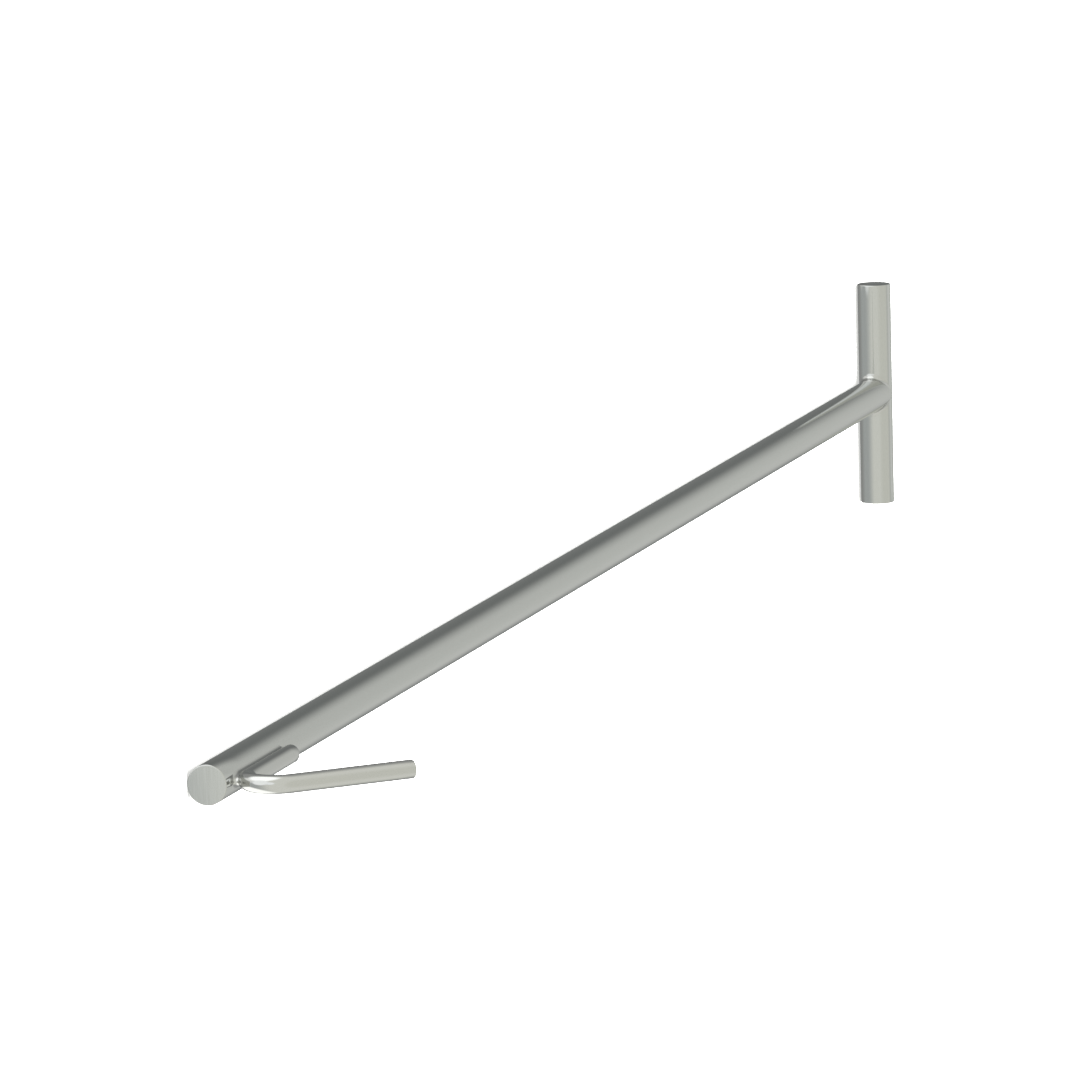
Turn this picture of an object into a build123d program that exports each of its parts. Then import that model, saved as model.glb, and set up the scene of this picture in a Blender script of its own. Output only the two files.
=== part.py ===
from build123d import *
import math
import os

# T-handle lifting hook, made of round steel bars welded together.
# It lies flat: +X runs along the shaft from its tool end to the handle, +Y runs along
# the cross handle, and the hook stands up on the +Z side.
# The origin is the centre of the shaft's end face at the tool end. Millimetres.

os.makedirs("parts", exist_ok=True)

# Bars
BAR_DIAMETER = 15.0
BAR_RADIUS = BAR_DIAMETER / 2
SHAFT_LENGTH = 1000.0
HANDLE_LENGTH = 100.0
EDGE_BREAK = 0.4

# Hook, bent from a thinner rod
ROD_DIAMETER = 7.0
ROD_RADIUS = ROD_DIAMETER / 2
BEND_RADIUS = 10.5
HOOK_ANGLE = 45.0
BEND_START = 15.4
SEAT_LENGTH = 51.2
FREE_LEG_LENGTH = 49.7
ROD_EDGE_BREAK = 0.3

# Welds
HANDLE_WELD_RADIUS = 2.5
SADDLE_TRIM = 1.5
HOOK_WELD_RADIUS = 1.5
HOOK_WELD_FOOT = 3.2
HOOK_WELD_NECK = 2.8
NOSE_LENGTH = 7.7
ROOT_GAP = 2.4
ROOT_START = 12.5

# The shaft's end is milled to the handle's radius and seats on it.
handle_x = SHAFT_LENGTH + BAR_RADIUS
saddle_end = handle_x - SADDLE_TRIM

# The rod lies on top of the shaft and touches it along its whole straight seat.
rod_height = BAR_RADIUS + ROD_RADIUS
seat_end = BEND_START + SEAT_LENGTH


# Cross handle: a plain round bar across the shaft's far end
with BuildPart() as cross_handle:
    with BuildSketch(Plane.XZ):
        with Locations((handle_x, 0)):
            Circle(BAR_RADIUS)
    extrude(amount=HANDLE_LENGTH / 2, both=True)
    chamfer(cross_handle.faces().filter_by(Axis.Y).edges(), EDGE_BREAK)
cross_handle.part.label = "cross_handle"
export_step(cross_handle.part, "parts/cross_handle.step")


# Shaft: a flat tool end with a broken edge, and a saddle cut at the handle end
with BuildPart() as shaft:
    with BuildSketch(Plane.YZ):
        Circle(BAR_RADIUS)
    extrude(amount=saddle_end)
    chamfer(shaft.faces().sort_by(Axis.X)[0].edges(), EDGE_BREAK)
    add(cross_handle.part, mode=Mode.SUBTRACT)
shaft.part.label = "shaft"
export_step(shaft.part, "parts/shaft.step")


# Hook rod: the seat on the shaft, one bend, and the free leg pointing back to the handle
with BuildPart() as hook_rod:
    with BuildLine(Plane.XZ) as hook_path:
        seat = Line((seat_end, rod_height), (BEND_START, rod_height))
        bend = CenterArc(
            (BEND_START, rod_height + BEND_RADIUS),
            BEND_RADIUS,
            start_angle=-90,
            arc_size=HOOK_ANGLE - 180,
        )
        lean = math.radians(HOOK_ANGLE)
        leg_start = bend @ 1
        free_leg = Line(
            leg_start,
            leg_start + Vector(math.cos(lean), 0, math.sin(lean)) * FREE_LEG_LENGTH,
        )
    with BuildSketch(Plane(origin=(seat_end, 0, rod_height), z_dir=(-1, 0, 0))):
        Circle(ROD_RADIUS)
    sweep(path=hook_path.line)
    chamfer(hook_rod.faces().filter_by(GeomType.PLANE).edges(), ROD_EDGE_BREAK)
hook_rod.part.label = "hook_rod"
export_step(hook_rod.part, "parts/hook_rod.step")


# Hook weld: a concave fillet along both sides of the seat, and a rounded nose under the
# bend that joins the two sides. A ball of the fillet's radius touches both shaft and rod
# at this height and this far to the side.
shaft_reach = BAR_RADIUS + HOOK_WELD_RADIUS
rod_reach = ROD_RADIUS + HOOK_WELD_RADIUS
ball_height = (shaft_reach**2 - rod_reach**2 + rod_height**2) / (2 * rod_height)
ball_side = math.sqrt(shaft_reach**2 - ball_height**2)

with BuildPart() as hook_weld:
    with BuildSketch(Plane.YZ.offset(BEND_START)):
        with BuildLine():
            Polyline(
                (-HOOK_WELD_FOOT, BAR_RADIUS - HOOK_WELD_RADIUS),
                (HOOK_WELD_FOOT, BAR_RADIUS - HOOK_WELD_RADIUS),
                (HOOK_WELD_NECK, rod_height - ROD_RADIUS + HOOK_WELD_RADIUS),
                (-HOOK_WELD_NECK, rod_height - ROD_RADIUS + HOOK_WELD_RADIUS),
                close=True,
            )
        make_face()
        with Locations((ball_side, ball_height), (-ball_side, ball_height)):
            Circle(HOOK_WELD_RADIUS, mode=Mode.SUBTRACT)
    extrude(amount=SEAT_LENGTH - ROD_EDGE_BREAK)
    with BuildSketch():
        with Locations((BEND_START, 0)):
            Ellipse(NOSE_LENGTH, HOOK_WELD_NECK)
            Rectangle(
                SEAT_LENGTH,
                HANDLE_LENGTH,
                align=(Align.MIN, Align.CENTER),
                mode=Mode.SUBTRACT,
            )
    extrude(amount=rod_height)
    with BuildSketch():
        with Locations((ROOT_START, 0)):
            Rectangle(
                SEAT_LENGTH * 2,
                ROOT_GAP,
                align=(Align.MIN, Align.CENTER),
            )
    extrude(amount=rod_height, mode=Mode.SUBTRACT)
    add(shaft.part, mode=Mode.SUBTRACT)
    add(hook_rod.part, mode=Mode.SUBTRACT)
hook_weld.part.label = "hook_weld"
export_step(hook_weld.part, "parts/hook_weld.step")


# Handle welds: a concave fillet on each side of the saddle, fading out at its top and
# bottom, where the two bars run into each other smoothly
for side_name, side in (("left", 1), ("right", -1)):
    with BuildPart() as handle_weld:
        with BuildSketch(Plane.YZ.offset(SHAFT_LENGTH - BAR_DIAMETER)):
            Circle(BAR_RADIUS)
        extrude(amount=BAR_DIAMETER + BAR_RADIUS)
        with BuildSketch(Plane.XZ.offset(-2 * BAR_DIAMETER)):
            with Locations((handle_x, 0)):
                Circle(BAR_RADIUS)
        extrude(amount=4 * BAR_DIAMETER)
        fillet(handle_weld.edges().filter_by(GeomType.ELLIPSE), HANDLE_WELD_RADIUS)
        add(shaft.part, mode=Mode.SUBTRACT)
        add(cross_handle.part, mode=Mode.SUBTRACT)
        split(bisect_by=Plane.YZ.offset(saddle_end), keep=Keep.BOTTOM)
        split(bisect_by=Plane.ZX, keep=Keep.TOP if side > 0 else Keep.BOTTOM)
    handle_weld.part.label = "handle_weld_" + side_name
    export_step(handle_weld.part, "parts/handle_weld_" + side_name + ".step")
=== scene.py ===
import math

import bmesh
import bpy
from mathutils import Matrix, Vector


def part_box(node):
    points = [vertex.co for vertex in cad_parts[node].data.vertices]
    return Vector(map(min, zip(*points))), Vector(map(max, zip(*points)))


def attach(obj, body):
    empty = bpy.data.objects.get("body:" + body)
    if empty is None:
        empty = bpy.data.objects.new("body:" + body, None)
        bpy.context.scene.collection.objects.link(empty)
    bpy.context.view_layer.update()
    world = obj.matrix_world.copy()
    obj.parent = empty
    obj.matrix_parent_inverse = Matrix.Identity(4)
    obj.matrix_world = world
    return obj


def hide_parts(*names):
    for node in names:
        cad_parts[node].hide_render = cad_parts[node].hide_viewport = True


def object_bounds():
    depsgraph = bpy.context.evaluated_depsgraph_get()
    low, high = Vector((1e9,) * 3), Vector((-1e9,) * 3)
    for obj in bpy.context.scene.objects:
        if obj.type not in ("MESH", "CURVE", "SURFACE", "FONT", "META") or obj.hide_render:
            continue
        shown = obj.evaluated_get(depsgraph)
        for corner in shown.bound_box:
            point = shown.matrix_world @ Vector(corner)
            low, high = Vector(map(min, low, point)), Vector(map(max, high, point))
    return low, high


# T-handle lifting hook: three round steel bars welded together, lying on a pale floor.
# The frame is the CAD's: +X runs from the tool end to the handle, +Y along the handle,
# and the hook stands up on the +Z side. Metres.

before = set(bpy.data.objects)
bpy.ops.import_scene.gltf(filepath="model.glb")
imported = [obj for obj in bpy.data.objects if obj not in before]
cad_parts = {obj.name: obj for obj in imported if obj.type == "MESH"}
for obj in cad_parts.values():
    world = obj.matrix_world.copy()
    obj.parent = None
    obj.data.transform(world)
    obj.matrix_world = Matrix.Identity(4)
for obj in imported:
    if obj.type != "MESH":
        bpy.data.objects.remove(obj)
cad_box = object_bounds()

MM = 0.001
AXIS_X, AXIS_Y, AXIS_Z = Vector((1, 0, 0)), Vector((0, 1, 0)), Vector((0, 0, 1))

# ---------------------------------------------------------------- sizes
# The bars' places and thicknesses come from the frame.
handle_low, handle_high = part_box("cross_handle")
rod_low, rod_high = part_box("hook_rod")
weld_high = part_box("hook_weld")[1]

BAR_RADIUS = (handle_high.x - handle_low.x) / 2
HANDLE_X = (handle_high.x + handle_low.x) / 2
EDGE_BREAK = 0.4 * MM

ROD_RADIUS = (rod_high.y - rod_low.y) / 2
ROD_HEIGHT = BAR_RADIUS + ROD_RADIUS
ROD_EDGE_BREAK = 0.3 * MM
BEND_RADIUS = 10.5 * MM
BEND_START = rod_low.x + BEND_RADIUS + ROD_RADIUS
HOOK_ANGLE = math.radians(45)
FREE_LEG_LENGTH = 49.7 * MM

HANDLE_WELD_RADIUS = 2.5 * MM
HOOK_WELD_RADIUS = 1.5 * MM
HOOK_WELD_END = weld_high.x
# How far the handle weld's hidden corner is sunk into the bars
SINK = 0.05 * MM

# ---------------------------------------------------------------- mesh detail
BAR_SIDES = 128
ROD_SIDES = 80
EDGE_STEPS = 5
SHAFT_SPANS = 48
HANDLE_SPANS = 16
ROD_SPANS = 8
BEND_STEPS = 48
SADDLE_STEPS = 96
SEAT_SPANS = 24
NOSE_STEPS = 64
FILLET_STEPS = 14

MERGE_DISTANCE = 1e-7
HARD_EDGE_DEGREES = 35
HANDLE_WELD_HARD_EDGE_DEGREES = 60

# ---------------------------------------------------------------- steel
# Base colour, and how rough the surface is
BAR_TONE, BAR_ROUGHNESS = (0.50, 0.51, 0.495), 0.10
END_TONE, END_ROUGHNESS = (0.505, 0.52, 0.515), 0.14
ROD_TONE, ROD_ROUGHNESS = (0.52, 0.525, 0.51), 0.08
WELD_TONE, WELD_ROUGHNESS = (0.50, 0.505, 0.49), 0.20

# Brush marks in a metre along X, Y and Z: they run along the axis with the low number
SHAFT_GRAIN = (600, 9000, 3000)
END_GRAIN = (600, 60, 1800)
HANDLE_GRAIN = (9000, 600, 9000)
ROD_GRAIN = (1500, 9000, 1500)
WELD_GRAIN = (4000, 4000, 4000)

# The marks' noise, how far they vary the tone, and how deep they look
MARK_NOISE_DETAIL = 6.0
MARK_NOISE_ROUGHNESS = 0.65
MARK_TONE_RANGE = (0.3, 0.7)
MARK_CONTRAST = 0.05
MARK_DEPTH = 0.02 * MM
MARK_STRENGTH = 0.05

# Larger soft patches that vary the roughness between these two shares of it
PATCHES_PER_METRE = 45.0
PATCH_NOISE_DETAIL = 3.0
PATCH_LOW, PATCH_HIGH = 0.8, 1.2

# ---------------------------------------------------------------- floor and lights
FLOOR_RADIUS = 60
FLOOR_SIDES = 96
FLOOR_GAP = 0.02 * MM
FLOOR_TONE = 0.9
FLOOR_ROUGHNESS = 0.9
FLOOR_GLOW = 0.3

OVERHEAD_ENERGY = 8.0
OVERHEAD_DEGREES = 70

# The studio that the steel mirrors. Each light has the direction that it comes from, the
# angle in degrees up to which it is full, the angle at which it has faded out, and its
# colour and strength. A later light covers an earlier one. The viewer is on the -X side.
LIGHT_ALL_ROUND = (1.03, 1.03, 0.965)
STUDIO_LIGHTS = [
    # Wide and dim, from below
    ((0, -0.15, -1), 30, 85, (0.61, 0.635, 0.63)),
    # Pale and slightly warm, from above
    ((-0.2, 0, 1), 15, 50, (0.93, 0.93, 0.855)),
    # Wide and dark, from beyond the handle
    ((1, 0, -0.25), 45, 88, (0.42, 0.425, 0.42)),
    # Lighter again above that, in two steps
    ((0.85, 0.08, 0.55), 30, 50, (0.725, 0.735, 0.705)),
    ((0.68, 0.1, 0.73), 12, 25, (0.92, 0.93, 0.9)),
    # The darkest patch, beyond the handle: mirrored where a bar is seen at a flat angle
    ((0.95, 0.08, -0.3), 16, 35, (0.215, 0.225, 0.22)),
    # A slightly bright patch below, towards +Y
    ((-0.05, 0.35, -0.93), 14, 26, (1.15, 1.15, 1.13)),
    # Bright lamps, all low: on the +Y side, on the viewer's side and on the -Y side
    ((-0.15, 0.88, -0.42), 20, 38, (1.95, 1.97, 1.97)),
    ((-0.72, 0.4, -0.55), 18, 31, (1.45, 1.48, 1.48)),
    ((0.12, -0.78, -0.61), 22, 38, (1.95, 1.95, 1.9)),
    # A small lamp on the viewer's side
    ((-0.93, 0.36, -0.08), 8, 17, (1.4, 1.43, 1.45)),
]

# ---------------------------------------------------------------- camera
# It looks at a point close to the shaft's middle, in a direction given by two angles:
# round Z from +X, and up from level. The roll turns it from where +Y is straight up in
# the picture, clockwise as seen from behind it.
CAMERA_AIM = Vector((0.5, 0.01085, -0.016024))
CAMERA_DISTANCE = 4.026404
CAMERA_ROUND_Z = math.radians(-9.141548)
CAMERA_UP = math.radians(-15.668773)
CAMERA_ROLL = math.radians(1.332653)
CAMERA_LENS = 330.656
CAMERA_SENSOR = 36
CAMERA_CLIP_END = 200


# ---------------------------------------------------------------- mesh helpers
def new_piece(name, bm, material, smooth_angle=HARD_EDGE_DEGREES):
    """Turns a bmesh into a piece with smooth faces and hard edges above the angle."""
    bmesh.ops.remove_doubles(bm, verts=bm.verts, dist=MERGE_DISTANCE)
    bmesh.ops.recalc_face_normals(bm, faces=bm.faces)
    limit = math.radians(smooth_angle)
    for face in bm.faces:
        face.smooth = True
    for edge in bm.edges:
        if len(edge.link_faces) == 2 and edge.calc_face_angle(0) > limit:
            edge.smooth = False
    mesh = bpy.data.meshes.new(name)
    bm.to_mesh(mesh)
    bm.free()
    mesh.materials.append(material)
    piece = bpy.data.objects.new(name, mesh)
    bpy.context.scene.collection.objects.link(piece)
    return piece


def bridge(bm, rings):
    """Joins each ring to the next one with quads. All have the same number of vertices."""
    for ring, next_ring in zip(rings, rings[1:]):
        for i in range(len(ring)):
            j = (i + 1) % len(ring)
            bm.faces.new((ring[i], ring[j], next_ring[j], next_ring[i]))


def cap(bm, ring, centre):
    """Closes a ring with a fan of triangles round a centre vertex, and returns them."""
    hub = bm.verts.new(centre)
    return [bm.faces.new((ring[i], ring[(i + 1) % len(ring)], hub)) for i in range(len(ring))]


def ring_at(bm, centre, side, up, radius, sides):
    """A ring of vertices round a centre, in the plane of side and up."""
    ring = []
    for i in range(sides):
        turn = 2 * math.pi * i / sides
        offset = side * (radius * math.cos(turn)) + up * (radius * math.sin(turn))
        ring.append(bm.verts.new(centre + offset))
    return ring


def rounded_end(radius, edge_break):
    """Distance from the end face and radius of each ring of an end with a rounded edge."""
    profile = []
    for i in range(EDGE_STEPS + 1):
        turn = math.pi / 2 * i / EDGE_STEPS
        distance = edge_break * (1 - math.cos(turn))
        profile.append((distance, radius - edge_break * (1 - math.sin(turn))))
    return profile


def swept_bar(bm, path, across, radius, edge_break, sides):
    """A round bar along a path of (point, direction) pairs, with rounded end edges."""
    ends = rounded_end(radius, edge_break)
    stations = []
    start, start_way = path[0]
    finish, finish_way = path[-1]
    for distance, ring_radius in ends:
        stations.append((start + start_way * distance, start_way, ring_radius))
    for point, way in path[1:-1]:
        stations.append((point, way, radius))
    for distance, ring_radius in reversed(ends):
        stations.append((finish - finish_way * distance, finish_way, ring_radius))
    rings = []
    for point, way, ring_radius in stations:
        rings.append(ring_at(bm, point, across, across.cross(way), ring_radius, sides))
    bridge(bm, rings)
    cap(bm, rings[0], start)
    cap(bm, rings[-1], finish)


def straight(start, finish, spans):
    """(point, direction) pairs along a straight run, both ends included."""
    way = (finish - start).normalized()
    return [(start.lerp(finish, i / spans), way) for i in range(spans + 1)]


# ---------------------------------------------------------------- the bars
def make_shaft(material, end_material):
    """The long bar: rounded edge at the tool end, saddle cut at the cross handle. The
    flat tool end has a material of its own."""
    bm = bmesh.new()
    rings = []
    for distance, radius in rounded_end(BAR_RADIUS, EDGE_BREAK):
        rings.append(ring_at(bm, AXIS_X * distance, AXIS_Y, AXIS_Z, radius, BAR_SIDES))
    straight_end = HANDLE_X - BAR_RADIUS - HANDLE_WELD_RADIUS
    for i in range(1, SHAFT_SPANS + 1):
        centre = AXIS_X * (straight_end * i / SHAFT_SPANS)
        rings.append(ring_at(bm, centre, AXIS_Y, AXIS_Z, BAR_RADIUS, BAR_SIDES))
    saddle = ring_at(bm, Vector(), AXIS_Y, AXIS_Z, BAR_RADIUS, BAR_SIDES)
    for vert in saddle:
        vert.co.x = HANDLE_X - abs(vert.co.y)
    rings.append(saddle)
    bridge(bm, rings)
    for face in cap(bm, rings[0], Vector()):
        face.material_index = 1
    quarter, half = BAR_SIDES // 4, BAR_SIDES // 2
    for i in range(-quarter, quarter):
        # The strips at the very top and bottom are triangles, so a doubled corner goes.
        corners = [saddle[i], saddle[i + 1], saddle[half - i - 1], saddle[half - i]]
        bm.faces.new(list(dict.fromkeys(corners)))
    piece = new_piece("shaft_bar", bm, material)
    piece.data.materials.append(end_material)
    return piece


def make_handle(material):
    """The cross bar of the T handle, with both end edges rounded."""
    bm = bmesh.new()
    start = Vector((HANDLE_X, handle_low.y, 0))
    finish = Vector((HANDLE_X, handle_high.y, 0))
    path = straight(start, finish, HANDLE_SPANS)
    swept_bar(bm, path, AXIS_Z, BAR_RADIUS, EDGE_BREAK, BAR_SIDES)
    return new_piece("handle_bar", bm, material)


def make_hook(material):
    """The thin rod: its seat along the shaft, one bend, and the free leg."""
    bm = bmesh.new()
    seat_end = Vector((rod_high.x, 0, ROD_HEIGHT))
    bend_start = Vector((BEND_START, 0, ROD_HEIGHT))
    centre = bend_start + AXIS_Z * BEND_RADIUS
    path = straight(seat_end, bend_start, ROD_SPANS)
    sweep = math.pi - HOOK_ANGLE
    for i in range(1, BEND_STEPS + 1):
        turn = sweep * i / BEND_STEPS
        out = -AXIS_X * math.sin(turn) - AXIS_Z * math.cos(turn)
        way = -AXIS_X * math.cos(turn) + AXIS_Z * math.sin(turn)
        path.append((centre + out * BEND_RADIUS, way))
    bend_end, way = path.pop()
    path += straight(bend_end, bend_end + way * FREE_LEG_LENGTH, ROD_SPANS)
    swept_bar(bm, path, AXIS_Y, ROD_RADIUS, ROD_EDGE_BREAK, ROD_SIDES)
    return new_piece("hook_bar", bm, material)


# ---------------------------------------------------------------- the welds
def make_handle_weld(name, side, material):
    """A concave fillet round one side of the saddle. A ball of the weld's radius that
    rolls along the corner between the two bars touches both, and its path gives the
    fillet: it narrows to nothing at the saddle's top and bottom."""
    bm = bmesh.new()
    reach = BAR_RADIUS + HANDLE_WELD_RADIUS
    sunk = BAR_RADIUS - SINK
    rings = []
    for i in range(1, SADDLE_STEPS):
        turn = math.pi * (i / SADDLE_STEPS - 0.5)
        wide, high = math.cos(turn), math.sin(turn)
        ball = Vector((HANDLE_X - reach * wide, side * reach * wide, reach * high))
        to_shaft = Vector((0, -side * wide, -high))
        to_handle = Vector((wide, 0, -high))
        ring = []
        for step in range(FILLET_STEPS + 1):
            arm = to_shaft.slerp(to_handle, step / FILLET_STEPS) * HANDLE_WELD_RADIUS
            ring.append(bm.verts.new(ball + arm))
        corner = Vector((HANDLE_X - sunk * wide, side * sunk * wide, sunk * high))
        ring.append(bm.verts.new(corner))
        rings.append(ring)
    bridge(bm, rings)
    cap(bm, rings[0], Vector((HANDLE_X, 0, -BAR_RADIUS)))
    cap(bm, rings[-1], Vector((HANDLE_X, 0, BAR_RADIUS)))
    return new_piece(name, bm, material, smooth_angle=HANDLE_WELD_HARD_EDGE_DEGREES)


def hook_weld_balls():
    """Centres of a ball of the weld's radius that rolls along the corner between shaft
    and rod: down one side of the seat, round the nose and back along the other side.
    Each comes with the point of the rod's centre line that is nearest to it."""
    shaft_reach = BAR_RADIUS + HOOK_WELD_RADIUS
    rod_reach = ROD_RADIUS + HOOK_WELD_RADIUS
    height = (shaft_reach**2 - rod_reach**2 + ROD_HEIGHT**2) / (2 * ROD_HEIGHT)
    width = math.sqrt(shaft_reach**2 - height**2)
    bend_height = ROD_HEIGHT + BEND_RADIUS
    bend_centre = Vector((BEND_START, 0, bend_height))
    balls = []
    for i in range(SEAT_SPANS):
        x = HOOK_WELD_END + (BEND_START - HOOK_WELD_END) * i / SEAT_SPANS
        balls.append((Vector((x, width, height)), Vector((x, 0, ROD_HEIGHT))))
    for i in range(NOSE_STEPS + 1):
        y = width * math.cos(math.pi * i / NOSE_STEPS)
        z = math.sqrt(shaft_reach**2 - y**2)
        reach = BEND_RADIUS + math.sqrt(rod_reach**2 - y**2)
        turn = math.acos(min(1, (bend_height - z) / reach))
        out = Vector((-math.sin(turn), 0, -math.cos(turn)))
        ball = bend_centre + out * reach
        ball.y = y
        balls.append((ball, bend_centre + out * BEND_RADIUS))
    for ball, near in reversed(balls[:SEAT_SPANS]):
        balls.append((Vector((ball.x, -ball.y, ball.z)), near))
    return balls


def make_hook_weld(material):
    """A concave fillet between rod and shaft along both sides of the seat and round the
    nose under the bend. The last vertex of each ring is hidden inside the bars."""
    bm = bmesh.new()
    rings = []
    for ball, near in hook_weld_balls():
        to_shaft = -Vector((0, ball.y, ball.z)).normalized()
        to_rod = (near - ball).normalized()
        ring = []
        for step in range(FILLET_STEPS + 1):
            arm = to_shaft.slerp(to_rod, step / FILLET_STEPS) * HOOK_WELD_RADIUS
            ring.append(bm.verts.new(ball + arm))
        buried = ball + (to_shaft + to_rod).normalized() * (2 * HOOK_WELD_RADIUS)
        ring.append(bm.verts.new(buried))
        rings.append(ring)
    bridge(bm, rings)
    for ring in (rings[0], rings[-1]):
        for i in range(FILLET_STEPS):
            bm.faces.new((ring[i], ring[i + 1], ring[-1]))
    return new_piece("hook_weld_bead", bm, material)


# ---------------------------------------------------------------- materials
def node(tree, kind, **settings):
    """Adds a node and sets its properties."""
    made = tree.nodes.new(kind)
    for key, value in settings.items():
        setattr(made, key, value)
    return made


def brushed_steel(name, tone, roughness, grain):
    """Fine brushed stainless steel, with marks of the given grain."""
    material = bpy.data.materials.new(name)
    material.use_nodes = True
    tree = material.node_tree
    tree.nodes.clear()
    link = tree.links.new
    output = node(tree, "ShaderNodeOutputMaterial")
    shader = node(tree, "ShaderNodeBsdfPrincipled")
    shader.inputs["Metallic"].default_value = 1.0
    link(shader.outputs["BSDF"], output.inputs["Surface"])

    where = node(tree, "ShaderNodeTexCoord")
    stretch = node(tree, "ShaderNodeMapping")
    stretch.inputs["Scale"].default_value = grain
    link(where.outputs["Object"], stretch.inputs["Vector"])
    marks = node(tree, "ShaderNodeTexNoise")
    marks.inputs["Scale"].default_value = 1.0
    marks.inputs["Detail"].default_value = MARK_NOISE_DETAIL
    marks.inputs["Roughness"].default_value = MARK_NOISE_ROUGHNESS
    link(stretch.outputs["Vector"], marks.inputs["Vector"])
    patches = node(tree, "ShaderNodeTexNoise")
    patches.inputs["Scale"].default_value = PATCHES_PER_METRE
    patches.inputs["Detail"].default_value = PATCH_NOISE_DETAIL
    link(where.outputs["Object"], patches.inputs["Vector"])

    colour = node(tree, "ShaderNodeValToRGB")
    shares = (1 - MARK_CONTRAST, 1 + MARK_CONTRAST)
    for element, place, share in zip(colour.color_ramp.elements, MARK_TONE_RANGE, shares):
        element.position = place
        element.color = (*[c * share for c in tone], 1)
    link(marks.outputs["Fac"], colour.inputs["Fac"])
    link(colour.outputs["Color"], shader.inputs["Base Color"])

    gloss = node(tree, "ShaderNodeMapRange")
    gloss.inputs["To Min"].default_value = roughness * PATCH_LOW
    gloss.inputs["To Max"].default_value = roughness * PATCH_HIGH
    link(patches.outputs["Fac"], gloss.inputs["Value"])
    link(gloss.outputs["Result"], shader.inputs["Roughness"])

    bump = node(tree, "ShaderNodeBump")
    bump.inputs["Strength"].default_value = MARK_STRENGTH
    bump.inputs["Distance"].default_value = MARK_DEPTH
    link(marks.outputs["Fac"], bump.inputs["Height"])
    link(bump.outputs["Normal"], shader.inputs["Normal"])
    return material


def floor_paint():
    """A plain pale floor with a faint glow of its own, so that no shadow turns dark."""
    material = bpy.data.materials.new("floor_paint")
    material.use_nodes = True
    shader = material.node_tree.nodes["Principled BSDF"]
    shader.inputs["Base Color"].default_value = (FLOOR_TONE, FLOOR_TONE, FLOOR_TONE, 1)
    shader.inputs["Roughness"].default_value = FLOOR_ROUGHNESS
    shader.inputs["Specular IOR Level"].default_value = 0.0
    shader.inputs["Emission Color"].default_value = (1, 1, 1, 1)
    shader.inputs["Emission Strength"].default_value = FLOOR_GLOW
    return material


# ---------------------------------------------------------------- build the pieces
shaft_steel = brushed_steel("shaft_steel", BAR_TONE, BAR_ROUGHNESS, SHAFT_GRAIN)
end_steel = brushed_steel("end_steel", END_TONE, END_ROUGHNESS, END_GRAIN)
handle_steel = brushed_steel("handle_steel", BAR_TONE, BAR_ROUGHNESS, HANDLE_GRAIN)
rod_steel = brushed_steel("rod_steel", ROD_TONE, ROD_ROUGHNESS, ROD_GRAIN)
weld_steel = brushed_steel("weld_steel", WELD_TONE, WELD_ROUGHNESS, WELD_GRAIN)

pieces = [
    (make_shaft(shaft_steel, end_steel), "shaft", "shaft_steel"),
    (make_handle(handle_steel), "cross_handle", "handle_steel"),
    (make_hook(rod_steel), "hook_rod", "rod_steel"),
    (make_hook_weld(weld_steel), "hook_weld", "weld_steel"),
    (make_handle_weld("handle_bead_left", 1, weld_steel), "handle_weld_left", "weld_steel"),
    (make_handle_weld("handle_bead_right", -1, weld_steel), "handle_weld_right", "weld_steel"),
]
for piece, cad_node, slot in pieces:
    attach(piece, "root")
    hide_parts(cad_node)


# ---------------------------------------------------------------- floor, light and camera
def make_floor():
    """A wide round floor just below the bars. It isn't mirrored in the steel."""
    bm = bmesh.new()
    bmesh.ops.create_circle(bm, cap_ends=True, segments=FLOOR_SIDES, radius=FLOOR_RADIUS)
    floor = new_piece("floor", bm, floor_paint())
    floor.location = (0, 0, cad_box[0].z - FLOOR_GAP)
    floor.visible_glossy = False


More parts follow.
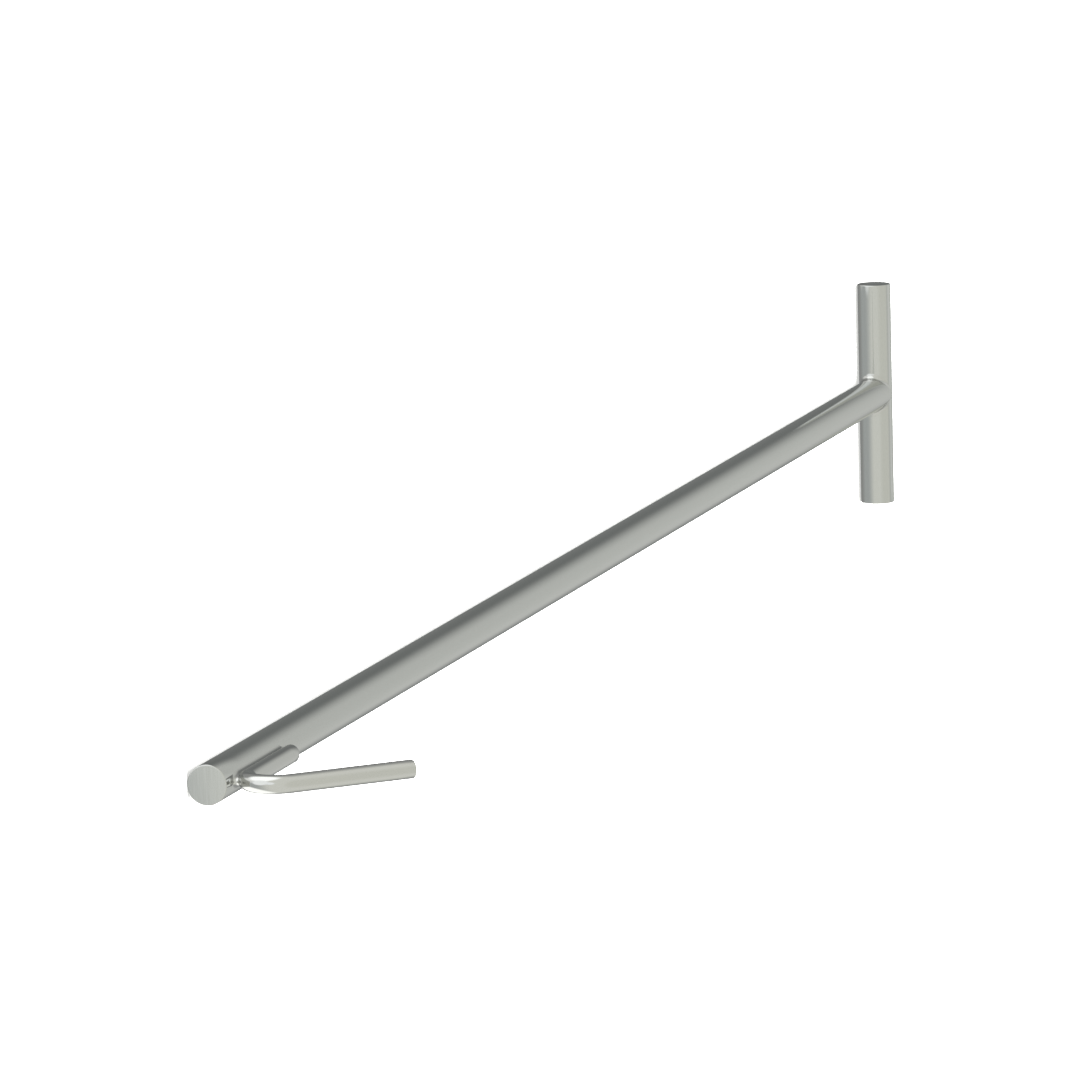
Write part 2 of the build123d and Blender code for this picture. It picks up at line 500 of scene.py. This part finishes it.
def studio_world(base, lights):
    """Soft light from all round: the base, and over it each of the lights in turn."""
    world = bpy.data.worlds.new("studio")
    bpy.context.scene.world = world
    world.use_nodes = True
    tree = world.node_tree
    tree.nodes.clear()
    link = tree.links.new
    output = node(tree, "ShaderNodeOutputWorld")
    background = node(tree, "ShaderNodeBackground")
    link(background.outputs["Background"], output.inputs["Surface"])
    sky = node(tree, "ShaderNodeTexCoord")
    so_far = None
    for direction, inner, outer, colour in lights:
        facing = node(tree, "ShaderNodeVectorMath", operation="DOT_PRODUCT")
        facing.inputs[1].default_value = Vector(direction).normalized()
        link(sky.outputs["Generated"], facing.inputs[0])
        fade = node(tree, "ShaderNodeMapRange", interpolation_type="SMOOTHSTEP")
        fade.inputs["From Min"].default_value = math.cos(math.radians(outer))
        fade.inputs["From Max"].default_value = math.cos(math.radians(inner))
        link(facing.outputs["Value"], fade.inputs["Value"])
        # A Mix node has sockets for each kind of data. These are the ones for vectors.
        mix = node(tree, "ShaderNodeMix", data_type="VECTOR")
        share, rest, target, mixed = mix.inputs[0], mix.inputs[4], mix.inputs[5], mix.outputs[1]
        target.default_value = colour
        link(fade.outputs["Result"], share)
        if so_far is None:
            rest.default_value = base
        else:
            link(so_far, rest)
        so_far = mixed
    link(so_far, background.inputs["Color"])


def overhead_light():
    """A broad soft light that brightens the floor. It isn't mirrored in the steel."""
    data = bpy.data.lights.new("overhead", "SUN")
    data.energy = OVERHEAD_ENERGY
    data.angle = math.radians(OVERHEAD_DEGREES)
    lamp = bpy.data.objects.new("overhead", data)
    lamp.visible_glossy = False
    bpy.context.scene.collection.objects.link(lamp)


def make_camera():
    """The viewing angle: from behind the tool end, looking down along the shaft, and
    rolled so that the handle's +Y end is at the top."""
    data = bpy.data.cameras.new("camera")
    data.sensor_width = CAMERA_SENSOR
    data.lens = CAMERA_LENS
    data.clip_end = CAMERA_CLIP_END
    camera = bpy.data.objects.new("camera", data)
    level = math.cos(CAMERA_UP)
    along_x, along_y = level * math.cos(CAMERA_ROUND_Z), level * math.sin(CAMERA_ROUND_Z)
    forward = Vector((along_x, along_y, math.sin(CAMERA_UP)))
    unrolled = (AXIS_Y - forward * forward.y).normalized()
    top = Matrix.Rotation(CAMERA_ROLL, 3, forward) @ unrolled
    turn = Matrix((forward.cross(top), top, -forward)).transposed()
    place = CAMERA_AIM - forward * CAMERA_DISTANCE
    camera.matrix_world = Matrix.Translation(place) @ turn.to_4x4()
    bpy.context.scene.collection.objects.link(camera)
    bpy.context.scene.camera = camera


make_floor()
studio_world(LIGHT_ALL_ROUND, STUDIO_LIGHTS)
overhead_light()
make_camera()
bpy.context.scene.view_settings.view_transform = "Standard"
